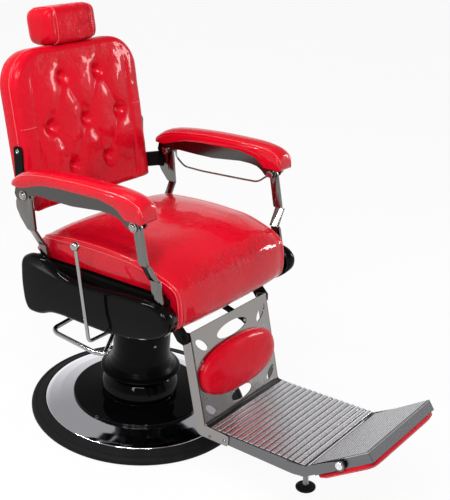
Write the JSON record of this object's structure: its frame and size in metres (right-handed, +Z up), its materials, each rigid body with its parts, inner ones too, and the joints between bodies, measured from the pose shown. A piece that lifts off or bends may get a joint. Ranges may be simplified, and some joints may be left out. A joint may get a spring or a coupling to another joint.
{
  "type": "hydraulic barber chair",
  "caption": "Barber chair on a round hydraulic base, with a buttoned reclining back, parallel arms, head block and linked leg rest with a turn-over panel.",
  "frame": {"origin": "on the floor, at the axis of the column", "axes": "+Z up, the seat faces -Y, +X is the left of a person in the chair"},
  "size_m": [0.6695, 1.2741, 1.1639],
  "materials": {
    "chrome": "polished chrome plate",
    "steel": "plain steel",
    "gloss_black": "glossy black",
    "satin_black": "satin black paint",
    "rubber": "matt black rubber",
    "red_vinyl": "smooth red vinyl",
    "black_vinyl": "black vinyl"
  },
  "bodies": {
    "base": {"base_plate": "steel", "base_rim": "rubber", "base_cover": "chrome", "pump_cover": "gloss_black", "pump_cylinder": "steel", "cylinder_head": "satin_black"},
    "column": {"ram": "chrome", "column_bell": "satin_black", "swivel_bearing": "steel"},
    "seat": {"swivel_head": "satin_black", "pump_lever_pin": "steel", "seat_frame": "satin_black", "seat_pan": "steel", "seat_cushion": "red_vinyl", "side_cover_left": "gloss_black", "side_cover_right": "gloss_black", "leg_bracket_left": "satin_black", "leg_bracket_right": "satin_black", "gas_spring_cylinder": "satin_black"},
    "pump_lever": {"pump_lever": "chrome"},
    "recline_lever": {"recline_lever": "chrome", "recline_knob": "gloss_black"},
    "back": {"recline_shaft": "steel", "rear_post_left": "chrome", "rear_post_right": "chrome", "back_bracket_left": "satin_black", "back_bracket_right": "satin_black", "back_panel": "black_vinyl", "back_cushion": "red_vinyl", "headrest_guide": "steel", "back_button_1": "red_vinyl", "back_button_2": "red_vinyl", "back_button_3": "red_vinyl", "back_button_4": "red_vinyl", "back_button_5": "red_vinyl", "back_button_6": "red_vinyl", "back_button_7": "red_vinyl"},
    "headrest": {"headrest_cushion": "red_vinyl", "headrest_stem": "chrome"},
    "arm_left": {"arm_channel_left": "chrome", "arm_pad_left": "red_vinyl", "arm_bolt_rear_left": "chrome", "arm_bolt_front_left": "chrome", "towel_rail": "chrome"},
    "arm_right": {"arm_channel_right": "chrome", "arm_pad_right": "red_vinyl", "arm_bolt_rear_right": "chrome", "arm_bolt_front_right": "chrome"},
    "front_post_left": {"front_post_left": "chrome"},
    "front_post_right": {"front_post_right": "chrome"},
    "leg_rest": {"calf_plate": "chrome", "link_ear": "steel", "calf_pad": "red_vinyl", "foot_plate": "chrome"},
    "leveller": {"leveller_stud": "steel", "leveller_foot": "rubber"},
    "flip_panel": {"flip_plate": "chrome", "flip_pad": "red_vinyl"},
    "recline_link": {"recline_link": "satin_black"},
    "gas_spring_rod": {"gas_spring_rod": "steel"}
  },
  "joints": [
    {"name": "lift", "type": "slide", "parent": "base", "child": "column", "axis": [0, 0, 1], "range_m": [0, 0.15]},
    {"name": "swivel", "type": "hinge", "parent": "column", "child": "seat", "pos_m": [0, 0, 0.392], "axis": [0, 0, 1], "continuous": true},
    {"name": "pump_lever", "type": "hinge", "parent": "seat", "child": "pump_lever", "pos_m": [-0.1, 0, 0.4], "axis": [0, -1, 0], "range_deg": [0, 22], "stiffness_Nm_per_rad": 12, "springref_deg": -11.46},
    {"name": "recline_lever", "type": "hinge", "parent": "seat", "child": "recline_lever", "pos_m": [-0.27, -0.10505, 0.39151], "axis": [-1, 0, 0], "range_deg": [0, 18], "stiffness_Nm_per_rad": 3, "springref_deg": -11.46},
    {"name": "back_recline", "type": "hinge", "parent": "seat", "child": "back", "pos_m": [0, 0.12943, 0.48894], "axis": [-1, 0, 0], "range_deg": [0, 50]},
    {"name": "headrest_slide", "type": "slide", "parent": "back", "child": "headrest", "axis": [0, 0.2233, 0.9748], "range_m": [0, 0.07]},
    {"name": "arm_left", "type": "hinge", "parent": "back", "child": "arm_left", "pos_m": [0.288, 0.17504, 0.71312], "axis": [-1, 0, 0], "range_deg": [-50, 0]},
    {"name": "arm_right", "type": "hinge", "parent": "back", "child": "arm_right", "pos_m": [-0.288, 0.17504, 0.71312], "axis": [-1, 0, 0], "range_deg": [-50, 0]},
    {"name": "front_post_left", "type": "hinge", "parent": "seat", "child": "front_post_left", "pos_m": [0.24, -0.26666, 0.5236], "axis": [-1, 0, 0], "range_deg": [0, 50]},
    {"name": "front_post_right", "type": "hinge", "parent": "seat", "child": "front_post_right", "pos_m": [-0.24, -0.26666, 0.5236], "axis": [-1, 0, 0], "range_deg": [0, 50]},
    {"name": "leg_rest", "type": "hinge", "parent": "seat", "child": "leg_rest", "pos_m": [0, -0.299, 0.419], "axis": [-1, 0, 0], "range_deg": [0, 50]},
    {"name": "leveller", "type": "slide", "parent": "leg_rest", "child": "leveller", "axis": [0, 0.105, 0.9945], "range_m": [0, 0.015]},
    {"name": "flip_panel", "type": "hinge", "parent": "leg_rest", "child": "flip_panel", "pos_m": [0, -0.79526, 0.26388], "axis": [-1, 0, 0], "range_deg": [0, 180]},
    {"name": "recline_link", "type": "hinge", "parent": "back", "child": "recline_link", "pos_m": [0.095, 0.12551, 0.44411], "axis": [-1, 0, 0], "range_deg": [-50, 0]},
    {"name": "gas_spring", "type": "slide", "parent": "seat", "child": "gas_spring_rod", "axis": [0, -0.9962, 0.0872], "range_m": [0, 0.043]}
  ],
  "couplings": [
    {"joint": "arm_left", "follows": "back_recline", "ratio": -1},
    {"joint": "arm_right", "follows": "back_recline", "ratio": -1},
    {"joint": "front_post_left", "follows": "back_recline", "ratio": 1},
    {"joint": "front_post_right", "follows": "back_recline", "ratio": 1},
    {"joint": "leg_rest", "follows": "back_recline", "ratio": 1},
    {"joint": "recline_link", "follows": "back_recline", "ratio": -1},
    {"joint": "gas_spring", "follows": "back_recline", "m_per_rad": 0.0484}
  ]
}
